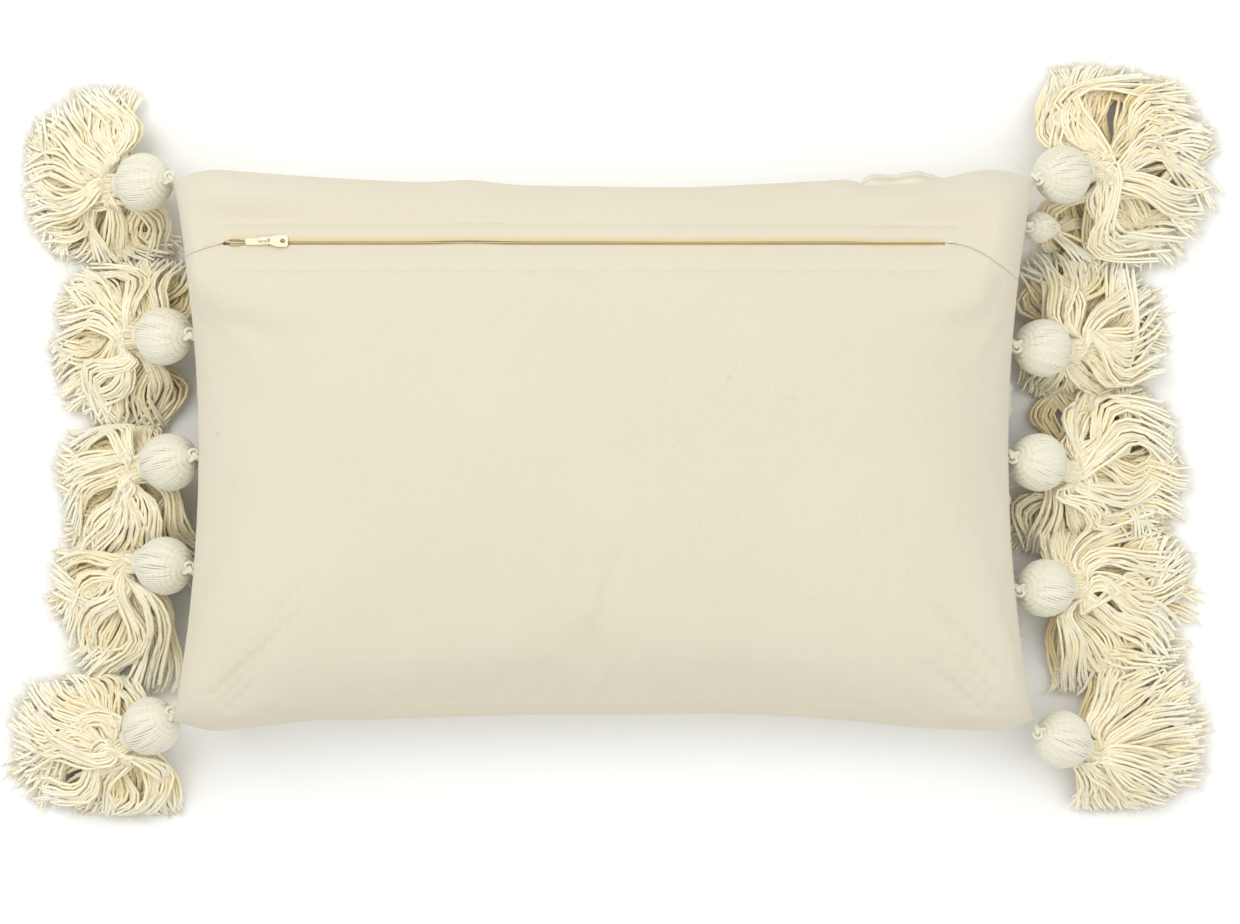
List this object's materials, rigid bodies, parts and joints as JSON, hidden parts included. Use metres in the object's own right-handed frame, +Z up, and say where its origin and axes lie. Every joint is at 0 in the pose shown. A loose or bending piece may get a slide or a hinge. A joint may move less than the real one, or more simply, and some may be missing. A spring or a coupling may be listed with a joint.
{
  "type": "throw pillow",
  "caption": "Lumbar throw pillow in natural cotton with a zip across the back and thick tassels with wrapped ball heads along both short sides.",
  "frame": {"origin": "middle of the patch on which the pillow rests, front side down, under the middle of the cover", "axes": "+Z up, out of the back panel; +X along the length of the cover; +Y towards the seam that is nearer to the zip"},
  "size_m": [0.8495, 0.5236, 0.14],
  "materials": {
    "back_cloth": "matte",
    "front_cloth": "matte",
    "zip_tape": "matte",
    "zip_coil": "satin",
    "zip_slider": "gloss",
    "insert_cloth": "matte",
    "filling": "matte",
    "tassel_strand": "matte",
    "tassel_wrap": "matte",
    "tassel_cord": "matte"
  },
  "bodies": {
    "cover": {"front_panel": "front_cloth", "back_panel_upper": "back_cloth", "back_panel_lower": "back_cloth", "zip_tape_upper": "zip_tape", "zip_tape_lower": "zip_tape", "zip_coil_upper": "zip_coil", "zip_coil_lower": "zip_coil", "zip_top_stop_upper": "zip_coil", "zip_top_stop_lower": "zip_coil", "zip_bottom_stop": "zip_coil", "insert_case_back": "insert_cloth", "insert_case_front": "insert_cloth", "insert_filling": "filling"},
    "zip_slider": {"zip_slider": "zip_slider"},
    "zip_pull_tab": {"zip_pull_tab": "zip_slider"},
    "tassel_left_1": {"tassel_left_1_tie": "tassel_cord", "tassel_left_1_head": "tassel_wrap", "tassel_left_1_binding": "tassel_cord", "tassel_left_1_skirt": "tassel_strand"},
    "tassel_left_2": {"tassel_left_2_tie": "tassel_cord", "tassel_left_2_head": "tassel_wrap", "tassel_left_2_binding": "tassel_cord", "tassel_left_2_skirt": "tassel_strand"},
    "tassel_left_3": {"tassel_left_3_tie": "tassel_cord", "tassel_left_3_head": "tassel_wrap", "tassel_left_3_binding": "tassel_cord", "tassel_left_3_skirt": "tassel_strand"},
    "tassel_left_4": {"tassel_left_4_tie": "tassel_cord", "tassel_left_4_head": "tassel_wrap", "tassel_left_4_binding": "tassel_cord", "tassel_left_4_skirt": "tassel_strand"},
    "tassel_left_5": {"tassel_left_5_tie": "tassel_cord", "tassel_left_5_head": "tassel_wrap", "tassel_left_5_binding": "tassel_cord", "tassel_left_5_skirt": "tassel_strand"},
    "tassel_right_1": {"tassel_right_1_tie": "tassel_cord", "tassel_right_1_head": "tassel_wrap", "tassel_right_1_binding": "tassel_cord", "tassel_right_1_skirt": "tassel_strand"},
    "tassel_right_2": {"tassel_right_2_tie": "tassel_cord", "tassel_right_2_head": "tassel_wrap", "tassel_right_2_binding": "tassel_cord", "tassel_right_2_skirt": "tassel_strand"},
    "tassel_right_3": {"tassel_right_3_tie": "tassel_cord", "tassel_right_3_head": "tassel_wrap", "tassel_right_3_binding": "tassel_cord", "tassel_right_3_skirt": "tassel_strand"},
    "tassel_right_4": {"tassel_right_4_tie": "tassel_cord", "tassel_right_4_head": "tassel_wrap", "tassel_right_4_binding": "tassel_cord", "tassel_right_4_skirt": "tassel_strand"},
    "tassel_right_5": {"tassel_right_5_tie": "tassel_cord", "tassel_right_5_head": "tassel_wrap", "tassel_right_5_binding": "tassel_cord", "tassel_right_5_skirt": "tassel_strand"},
    "tassel_right_tucked": {"tassel_right_tucked_tie": "tassel_cord", "tassel_right_tucked_head": "tassel_wrap", "tassel_right_tucked_binding": "tassel_cord", "tassel_right_tucked_skirt": "tassel_strand"}
  },
  "joints": [
    {"name": "zip_slide", "type": "slide", "parent": "cover", "child": "zip_slider", "axis": [1, 0, 0], "range_m": [-0.012, 0.464]},
    {"name": "pull_tab_hinge", "type": "hinge", "parent": "zip_slider", "child": "zip_pull_tab", "pos_m": [-0.2318, 0.14274, 0.11335], "axis": [0, -0.8972, 0.4416], "range_deg": [0, 160]},
    {"name": "tassel_left_1_swing", "type": "hinge", "parent": "cover", "child": "tassel_left_1", "pos_m": [-0.29936, 0.189, 0.066], "axis": [0, 1, 0], "range_deg": [0, 75]},
    {"name": "tassel_left_2_swing", "type": "hinge", "parent": "cover", "child": "tassel_left_2", "pos_m": [-0.28552, 0.08, 0.066], "axis": [0, 1, 0], "range_deg": [0, 75]},
    {"name": "tassel_left_3_swing", "type": "hinge", "parent": "cover", "child": "tassel_left_3", "pos_m": [-0.28251, -0.0035, 0.066], "axis": [0, 1, 0], "range_deg": [0, 75]},
    {"name": "tassel_left_4_swing", "type": "hinge", "parent": "cover", "child": "tassel_left_4", "pos_m": [-0.28575, -0.083, 0.066], "axis": [0, 1, 0], "range_deg": [0, 75]},
    {"name": "tassel_left_5_swing", "type": "hinge", "parent": "cover", "child": "tassel_left_5", "pos_m": [-0.29813, -0.182, 0.066], "axis": [0, 1, 0], "range_deg": [0, 75]},
    {"name": "tassel_right_1_swing", "type": "hinge", "parent": "cover", "child": "tassel_right_1", "pos_m": [0.29936, 0.189, 0.066], "axis": [0, -1, 0], "range_deg": [0, 75]},
    {"name": "tassel_right_2_swing", "type": "hinge", "parent": "cover", "child": "tassel_right_2", "pos_m": [0.28502, 0.073, 0.066], "axis": [0, -1, 0], "range_deg": [0, 75]},
    {"name": "tassel_right_3_swing", "type": "hinge", "parent": "cover", "child": "tassel_right_3", "pos_m": [0.28251, -0.0035, 0.066], "axis": [0, -1, 0], "range_deg": [0, 75]},
    {"name": "tassel_right_4_swing", "type": "hinge", "parent": "cover", "child": "tassel_right_4", "pos_m": [0.28694, -0.097, 0.066], "axis": [0, -1, 0], "range_deg": [0, 75]},
    {"name": "tassel_right_5_swing", "type": "hinge", "parent": "cover", "child": "tassel_right_5", "pos_m": [0.30044, -0.195, 0.066], "axis": [0, -1, 0], "range_deg": [0, 75]},
    {"name": "tassel_right_tucked_swing", "type": "hinge", "parent": "cover", "child": "tassel_right_tucked", "pos_m": [0.29398, 0.156, 0.066], "axis": [0, -1, 0], "range_deg": [0, 75]}
  ]
}
